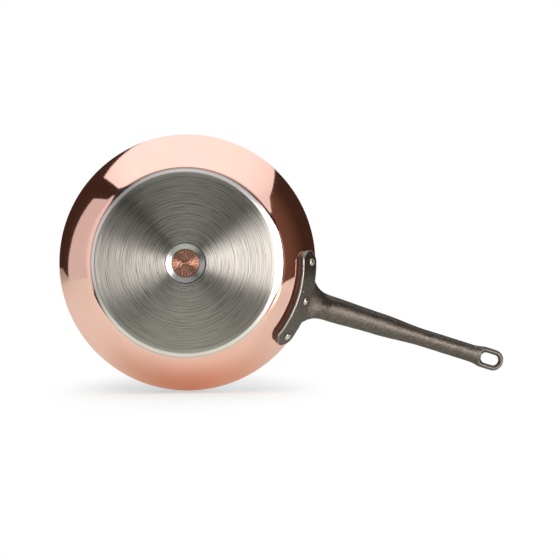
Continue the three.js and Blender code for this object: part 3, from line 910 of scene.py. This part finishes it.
def polished_copper(tree):
    """Mirror-polished copper: faint spinning rings, cloudy tone, hairline scratches, duller at the corner."""
    patches = use_group(tree, BLOTCHES, Patch_Size=45 * MM, Contrast=1.6)
    rings = use_group(tree, TURNING, Ring_Pitch=1.6 * MM, Fine_Share=0.6)
    scratches = use_group(tree, SCRATCHES, Length=22 * MM, Amount=0.05)
    rough = math("ADD", value_range(rings, 0.03, 0.07), scratches)
    dull = by_radius(tree, PLATE_RADIUS, PLATE_RADIUS + DULL_CORNER_WIDTH, DULL_CORNER_ROUGHNESS, 0.0)
    return {
        "Base Color": colour_mix(patches, *POLISHED_COPPER),
        "Roughness": math("ADD", rough, dull),
        "Normal": bump(rings, depth=0.004 * MM, strength=0.35),
    }


def turned_steel(tree):
    """Steel face turned on a lathe: rings lighter or darker, sharper or duller, on a very slight crown."""
    wide = use_group(tree, TURNING, Ring_Pitch=0.95 * MM, Fine_Share=0.3)
    fine = use_group(tree, TURNING, Ring_Pitch=0.7 * MM, Fine_Share=0.6)
    rings = value_mix(ARC_SHARE, wide, ring_arcs(tree, pitch=0.8 * MM, turns=3.0))
    face = colour_mix(value_range(rings, *RING_SHARES), *FACE_RINGS)
    face = scaled(face, by_radius(tree, FACE_DIMMING_START, LIP_START, 1.0, FACE_DIMMING))
    on_lip = by_radius(tree, LIP_START, LIP_START + LIP_WIDTH / 2)
    sag = math("DIVIDE", math("POWER", axis_distance(tree), 2.0), -2 * FACE_CROWN_RADIUS)
    crown = bump(sag, depth=1.0, strength=1.0)
    coarse = bump(wide, depth=0.03 * MM, strength=0.6, under=crown)
    return {
        "Base Color": colour_mix(on_lip, face, LIP_STEEL),
        "Roughness": value_range(rings, 0.06, 0.60),
        "Anisotropic": 1.0,
        "Tangent": ring_tangent(tree),
        "Normal": bump(fine, depth=0.01 * MM, strength=0.6, under=coarse),
    }


def polished_steel(tree):
    """Bright steel of the dish, step and bevelled edge; the dish reads a little steeper than it is cut."""
    patches = use_group(tree, BLOTCHES, Patch_Size=12 * MM, Contrast=1.3)
    rings = use_group(tree, TURNING, Ring_Pitch=3 * MM, Fine_Share=0.1)
    outward = by_radius(tree, DISH_RADIUS, BEVEL_START)
    dish, edge = (colour_mix(patches, *steel) for steel in (DISH_STEEL, EDGE_STEEL))
    tone = colour_mix(outward, dish, edge)
    tone = scaled(tone, by_radius(tree, DISH_RADIUS, DISH_DIMMING_END, DISH_DIMMING, 1.0))
    # painted shade on the outermost part of the bevel, for the gap line next to the copper
    dimming_start = PLATE_RADIUS - PAINTED_EDGE_SHADE_WIDTH
    tone = scaled(tone, by_radius(tree, dimming_start, PLATE_RADIUS, 1.0, PAINTED_EDGE_SHADE))
    rough = value_range(rings, 0.22, 0.32)
    in_dish = math("MINIMUM", axis_distance(tree), DISH_RADIUS)
    deeper = math("MULTIPLY", in_dish, DISH_EXTRA_SLOPE)
    return {
        "Base Color": tone,
        "Roughness": math("MULTIPLY_ADD", outward, BEVEL_EXTRA_ROUGHNESS, rough),
        "Normal": bump(deeper, depth=1.0, strength=1.0),
    }


def satin_copper(tree):
    """Copper disc with the plate's turned grain, its engraved lines darker and rougher."""
    rings = use_group(tree, TURNING, Ring_Pitch=0.8 * MM, Fine_Share=0.5)
    sunk = point_mark(tree, "engraved")
    rough = value_range(rings, 0.26, 0.38)
    return {
        "Base Color": colour_mix(sunk, colour_mix(rings, *DISC_RINGS), ENGRAVED_COPPER),
        "Roughness": math("MULTIPLY_ADD", sunk, ENGRAVED_ROUGHNESS, rough),
        "Anisotropic": 1.0,
        "Tangent": ring_tangent(tree),
        "Normal": bump(rings, depth=0.008 * MM, strength=0.5),
    }


def lining_steel(tree):
    """Satin stainless inside of the pan, brushed round its axis."""
    rings = use_group(tree, TURNING, Ring_Pitch=0.6 * MM, Fine_Share=0.6)
    patches = use_group(tree, BLOTCHES, Patch_Size=50 * MM, Contrast=1.2)
    scratches = use_group(tree, SCRATCHES, Length=25 * MM, Amount=0.08)
    return {
        "Base Color": colour_mix(patches, *LINING_STEEL),
        "Roughness": math("ADD", value_range(rings, 0.20, 0.34), scratches),
        "Anisotropic": 0.6,
        "Tangent": ring_tangent(tree),
        "Normal": bump(rings, depth=0.006 * MM, strength=0.4),
    }


def cast_iron(tree):
    """Rough iron casting: sandy grain, pits, brown-grey patches, pale ridges that are partly wear and partly
    painted highlight, and painted shade, highlight and reflection next to the wall.
    """
    place = surface_place(tree)
    grain = noise(place, 1 / GRAIN_SIZE, detail=2.0, roughness=0.6)
    pits = join("TexVoronoi", {"Vector": place, "Scale": 1 / PIT_SIZE}).outputs["Distance"]
    patches = use_group(tree, BLOTCHES, Patch_Size=14 * MM, Contrast=1.6)
    pointed = add(tree, "NewGeometry").outputs["Pointiness"]
    # pale on sharp ridges: partly wear, partly painted highlight on the edges and the loop's rim
    ridges = value_range(pointed, 0.0, 1.0, *WEAR_AND_GLINT_POINTINESS)
    wear_and_glint = math("MAXIMUM", ridges, point_mark(tree, "painted_edge_glint"))
    tone = colour_mix(patches, *IRON_PATCHES)
    tone = colour_mix(value_range(grain, *GRAIN_SHARES), tone, IRON_GRAIN)
    tone = colour_mix(math("MULTIPLY", wear_and_glint, WEAR_AND_GLINT_SHARE), tone, WEAR_AND_GLINT_IRON)
    painted_over = 0.0
    for name, colour in IRON_PAINTED_LIGHT.items():
        mask = point_mark(tree, name)
        tone = colour_mix(mask, tone, colour)
        painted_over = math("MAXIMUM", painted_over, mask)
    height = math("MULTIPLY_ADD", pits, PIT_HEIGHT, grain)
    return {
        "Base Color": tone,
        "Roughness": value_range(grain, 0.28, 0.41),
        "Metallic": value_range(painted_over, 1.0, 0.2),
        "Normal": bump(height, depth=0.10 * MM, strength=1.0),
    }


def rivet_steel(tree):
    """Bright rivet steel, dulled a little where the hammer left it."""
    patches = use_group(tree, BLOTCHES, Patch_Size=2.2 * MM, Contrast=1.8)
    return {
        "Base Color": colour_mix(patches, *RIVET_STEEL),
        "Roughness": value_range(patches, 0.12, 0.30),
        "Normal": bump(patches, depth=0.05 * MM, strength=0.4),
    }


# The pan

body = pan_layer("copper_body", 0.0, COPPER_THICKNESS, RIM_ROUND)
dress(body, "copper_shell", "polished_copper", finished(polished_copper))
lining = pan_layer("lining_skin", LINING_DEPTH, INSIDE_DEPTH, 0.0)
dress(lining, "steel_lining", "lining_steel", finished(lining_steel))
base_plate(finished(turned_steel), finished(polished_steel))
medallion(finished(satin_copper))
cast_handle(finished(cast_iron))
rivet_finish = finished(rivet_steel)
for place, angle in (("upper", -RIVET_ANGLE), ("middle", 0.0), ("lower", RIVET_ANGLE)):
    rivet(f"rivet_{place}_set", f"rivet_{place}", angle, rivet_finish)


# Camera, as the photograph was taken: looking onto the base, the handle pointing right and down

CAMERA_PITCH = np.radians(1.15)
CAMERA_YAW = np.radians(0.14)
HANDLE_TURN = np.radians(17.93)
CAMERA_OFFSET = Vector((-101.06 * MM, -18.01 * MM, 2193.3 * MM))
LENS = 132.0
SENSOR_WIDTH = 36.0
FARTHEST_SEEN = 50.0

to_picture = (Matrix.Rotation(CAMERA_PITCH, 3, "X") @ Matrix.Rotation(CAMERA_YAW, 3, "Y")
              @ Matrix.Rotation(HANDLE_TURN, 3, "Z"))
right, down, away = (Vector(row) for row in to_picture)
view_axes = Matrix((right, -down, -away)).transposed().to_4x4()
camera_data = bpy.data.cameras.new("photo_camera")
camera_data.lens = LENS
camera_data.sensor_width = SENSOR_WIDTH
camera_data.clip_end = FARTHEST_SEEN
camera = new_object("photo_camera", camera_data)
camera.matrix_world = Matrix.Translation(-(to_picture.transposed() @ CAMERA_OFFSET)) @ view_axes
bpy.context.scene.camera = camera


# Stage, in the photograph's own directions: right, up and near, in metres from the middle of the pan's base

picture_right = Vector((np.cos(HANDLE_TURN), -np.sin(HANDLE_TURN), 0))
picture_up = Vector((-np.sin(HANDLE_TURN), -np.cos(HANDLE_TURN), 0))
toward_camera = Vector((0, 0, -1))

# Studio colours, and between which shares of a direction each one comes in
WHITE = (1, 1, 1)
DARK_STUDIO = (0.053, 0.030, 0.021)
BROWN_STUDIO = (0.165, 0.092, 0.062)
FRONT_STUDIO = (0.024, 0.025, 0.026)
BROWN_TO_RIGHT = (0.3, 0.8)
BROWN_TO_FRONT = (-0.26, -0.02)
FRONT_SPAN = (0.1, 0.35)
PAPER_BEHIND = (0.55, 0.68)
FLAG_SHADE = (0.20, 0.18, 0.155)
GLOW_CORE = 0.4

# Paper of the floor as the camera and the pan's mirror see it, by the distance from the pan's foot; near the
# foot a cool tint is painted against the copper's warm bounce light, and in the mirror a painted shadow with
# painted copper-coloured bounce light
PAPER = (0.92, 0.92, 0.92)
PAPER_AT_FOOT = (0.79, 0.92, 0.965)
PAPER_GLOW = 0.20
TINT_SPREAD = 0.10
FOOT_SPREAD = 0.07
FOOT_FADE = 0.19
FADE_STRETCH = (1.15, 1.15, 0.50)
MIRRORED_PAPER = (0.83, 0.87, 0.81)
MIRRORED_AT_FOOT = (0.69, 0.57, 0.44)
MIRRORED_GLOW = 0.25
MIRRORED_START = 0.015
MIRRORED_SPREAD = 0.08
MIRRORED_STRETCH = (0.5, 0.5, 2.0)


def stage_point(across, up, near):
    """Point of the stage in the frame's coordinates."""
    return picture_right * across + picture_up * up + toward_camera * near


def level(up, outline):
    """Corners of a level polygon from (across, near) pairs."""
    return [(across, up, near) for across, near in outline]


def upright(across, outline):
    """Corners of an upright polygon at one side from (up, near) pairs."""
    return [(across, up, near) for up, near in outline]


def stage_polygon(name, corners, material):
    """Flat polygon of the stage, facing the side from which its corners run anticlockwise."""
    mesh = bpy.data.meshes.new(name)
    mesh.from_pydata([stage_point(*corner) for corner in corners], [], [range(len(corners))])
    mesh.materials.append(material)
    polygon = new_object(name, mesh)
    return polygon


def cleared_material(name):
    """Material with an empty node tree."""
    material, tree = new_material(name)
    tree.nodes.clear()
    return material, tree


def emission(tree, colour, strength):
    """Glow of a colour."""
    return add(tree, "Emission", {"Color": colour, "Strength": strength}).outputs[0]


def clear(tree):
    """Shader that lets everything through."""
    return add(tree, "BsdfTransparent").outputs[0]


def one_sided(tree, front):
    """Shows a shader on the front of a surface and nothing from behind."""
    behind = add(tree, "NewGeometry").outputs["Backfacing"]
    sided = join("MixShader", {0: behind, 1: front, 2: clear(tree)})
    join("OutputMaterial", {"Surface": sided.outputs[0]})


def floor_material():
    """White paper that takes the pan's shadow near its foot and is plain white to the camera farther off.

    Mirrored in the pan it is a shade darker, and warm where the copper throws its own colour on it.
    """
    material, tree = cleared_material("white_floor")
    foot = stage_point(0, -RIM_RADIUS, -PAN_HEIGHT)
    apart = vector("SUBTRACT", surface_place(tree), foot)

    def past(start, end, stretch):
        """0 to 1 with the distance from the pan's foot, stretched along each axis."""
        return eased(vector("LENGTH", vector("MULTIPLY", apart, stretch)), start, end)

    path = add(tree, "LightPath").outputs
    camera_ray, mirrored = path["Is Camera Ray"], path["Is Glossy Ray"]
    # painted cool tint near the foot against the copper's warm bounce light, and in the mirror a painted
    # shadow with copper-coloured bounce near the foot
    direct = colour_mix(past(0.0, TINT_SPREAD, (1, 1, 1)), PAPER_AT_FOOT, PAPER)
    mirrored_past = past(MIRRORED_START, MIRRORED_SPREAD, MIRRORED_STRETCH)
    reflected = colour_mix(mirrored_past, MIRRORED_AT_FOOT, MIRRORED_PAPER)
    tone = colour_mix(mirrored, direct, reflected)
    mirrored_glow = math("MULTIPLY", mirrored, MIRRORED_GLOW)
    glow = emission(tree, tone, math("MULTIPLY_ADD", camera_ray, PAPER_GLOW, mirrored_glow))
    paint = join("BsdfDiffuse", {"Color": tone}).outputs[0]
    paper = join("AddShader", {0: glow, 1: paint}).outputs[0]
    plain = math("MULTIPLY", past(FOOT_SPREAD, FOOT_FADE, FADE_STRETCH), camera_ray)
    shade = join("MixShader", {0: plain, 1: paper, 2: emission(tree, WHITE, 1.0)})
    one_sided(tree, shade.outputs[0])
    return material


def floor():
    """White paper under the lowest point of the rim; beyond its edges the studio is dark."""
    outline = ((-0.98, 1.3), (-0.55, 0.6), (-0.42, 0.23), (0.12, 0.25), (0.25, 0.28), (0.55, 0.28),
               (0.60, 0.0), (0.92, -0.11), (1.5, -0.45), (2.0, -2.0), (-2.6, -2.0), (-2.6, -1.15),
               (-0.98, -0.33))
    stage_polygon("white_floor", level(-RIM_RADIUS, outline), floor_material())


def handle_flags():
    """Dark flags in front of the handle that keep the top of the softbox off its upper flank and its root."""
    shank = (0.08, ((0.215, -0.055), (0.26, 0.09), (0.50, 0.03), (0.50, -0.095), (0.262, -0.048)))
    root = (-0.01, ((0.158, -0.050), (0.158, 0.02), (0.193, 0.01), (0.193, -0.052)))
    material, tree = cleared_material("dark_flag")
    one_sided(tree, emission(tree, FLAG_SHADE, 1.0))
    for near, outline in (shank, root):
        corners = [(across, up, near) for across, up in outline]
        stage_polygon("dark_flag", corners, material).visible_camera = False


def light_panel(name, corners, middle, glow, tint=WHITE, see_through=False):
    """Flat glowing panel, seen in reflections and not by the camera, dimmer away from its bright middle.

    The glow is given as (brightness at the middle, brightness at the far end, distance to the far end).
    """
    bright, dim, reach = glow
    material, tree = cleared_material(name)
    off = vector("DISTANCE", surface_place(tree), stage_point(*middle))
    light = emission(tree, tint, eased(off, GLOW_CORE * reach, reach, bright, dim))
    if see_through:
        light = join("AddShader", {0: light, 1: clear(tree)}).outputs[0]
    one_sided(tree, light)
    stage_polygon(name, corners, material).visible_camera = False


def overhead_panels():
    """Large panel over the pan, cut off behind it and slanted at the right end, and its faint front end."""
    up, tint = 0.80, (0.96, 1.0, 1.0)
    back = ((-0.66, 0.75), (-0.77, -0.06), (-0.84, -0.37), (0.70, -0.42), (0.98, -0.12), (1.30, -0.02),
            (1.30, 0.75))
    front = ((-0.60, 1.6), (-0.66, 0.75), (1.10, 0.75), (1.0, 1.6))
    light_panel("overhead_panel", level(up, back), (-0.05, up, 0.0), (1.33, 0.98, 1.1), tint)
    light_panel("overhead_front", level(up, front), (0.0, up, 0.75), (0.48, 0.20, 1.0), tint)


def left_panels():
    """Tall panel at the left, ending a little behind the pan's plane, and its front end."""
    across = -0.90
    back = ((-0.14, 0.4), (-0.14, -0.31), (0.13, -0.28), (0.58, -0.26), (0.67, -0.12), (0.76, -0.03),
            (0.79, 0.4))
    front = ((-0.14, 1.4), (-0.14, 0.4), (0.79, 0.4), (0.60, 1.4))
    light_panel("left_panel", upright(across, back), (across, 0.2, 0.4), (0.92, 0.72, 0.6))
    light_panel("left_front", upright(across, front), (across, 0.2, 0.4), (0.96, 0.5, 1.0))


def right_panel():
    """Panel at the right that fades away from the softbox toward the pan's plane."""
    across = 1.25
    outline = ((-0.45, -0.15), (-0.45, 0.80), (0.45, 0.80), (0.45, -0.15))
    middle, glow = (across, 0.0, 0.80), (0.65, 0.0, 0.85)
    light_panel("right_panel", upright(across, outline), middle, glow, see_through=True)


def floor_card():
    """Pale card lying to the right of the pan, seen in the lower side of the handle alone."""
    up = 2 * MM - RIM_RADIUS
    outline = ((0.58, 0.28), (0.58, 0.04), (0.20, 0.04), (0.20, 0.28))
    light_panel("floor_card", level(up, outline), (0.39, up, 0.18), (2.1, 0.9, 0.19), (1.0, 0.96, 0.89))


def softbox(name, place, aim, size, radiance):
    """Area lamp of a given brightness, in a place and aimed at a point of the stage."""
    data = bpy.data.lights.new(name, "AREA")
    data.shape = "RECTANGLE"
    data.size, data.size_y = size
    data.energy = radiance * np.pi * size[0] * size[1]
    spot, target = stage_point(*place), stage_point(*aim)
    facing = (spot - target).normalized()
    side = (picture_right - facing * picture_right.dot(facing)).normalized()
    axes = Matrix((side, facing.cross(side), facing)).transposed().to_4x4()
    new_object(name, data).matrix_world = Matrix.Translation(spot) @ axes


def studio_world():
    """White to the camera and far behind the pan; dark at the sides, browner to the right of its plane."""
    world = bpy.data.worlds.new("studio")
    bpy.context.scene.world = world
    world.use_nodes = True
    tree = world.node_tree
    tree.nodes.clear()
    way = add(tree, "TexCoord").outputs["Generated"]

    def along(axis, start, end):
        """0 to 1 as a direction turns from one share of an axis to another."""
        return eased(vector("DOT_PRODUCT", way, axis), start, end)

    to_right = along(picture_right, *BROWN_TO_RIGHT)
    brown = math("MULTIPLY", to_right, along(toward_camera, *BROWN_TO_FRONT))
    around = colour_mix(brown, DARK_STUDIO, BROWN_STUDIO)
    around = colour_mix(along(toward_camera, *FRONT_SPAN), around, FRONT_STUDIO)
    around = colour_mix(along(-toward_camera, *PAPER_BEHIND), around, WHITE)
    camera_ray = add(tree, "LightPath").outputs["Is Camera Ray"]
    seen = colour_mix(camera_ray, around, WHITE)
    light = join("Background", {"Color": seen, "Strength": 1.0})
    join("OutputWorld", {"Surface": light.outputs[0]})


floor()
handle_flags()
overhead_panels()
left_panels()
right_panel()
floor_card()
softbox("right_softbox", place=(0.90, 0.09, 1.05), aim=(0.0, 0.03, 0.0), size=(0.9, 0.76), radiance=5.9)
studio_world()

bpy.context.scene.view_settings.view_transform = "Standard"
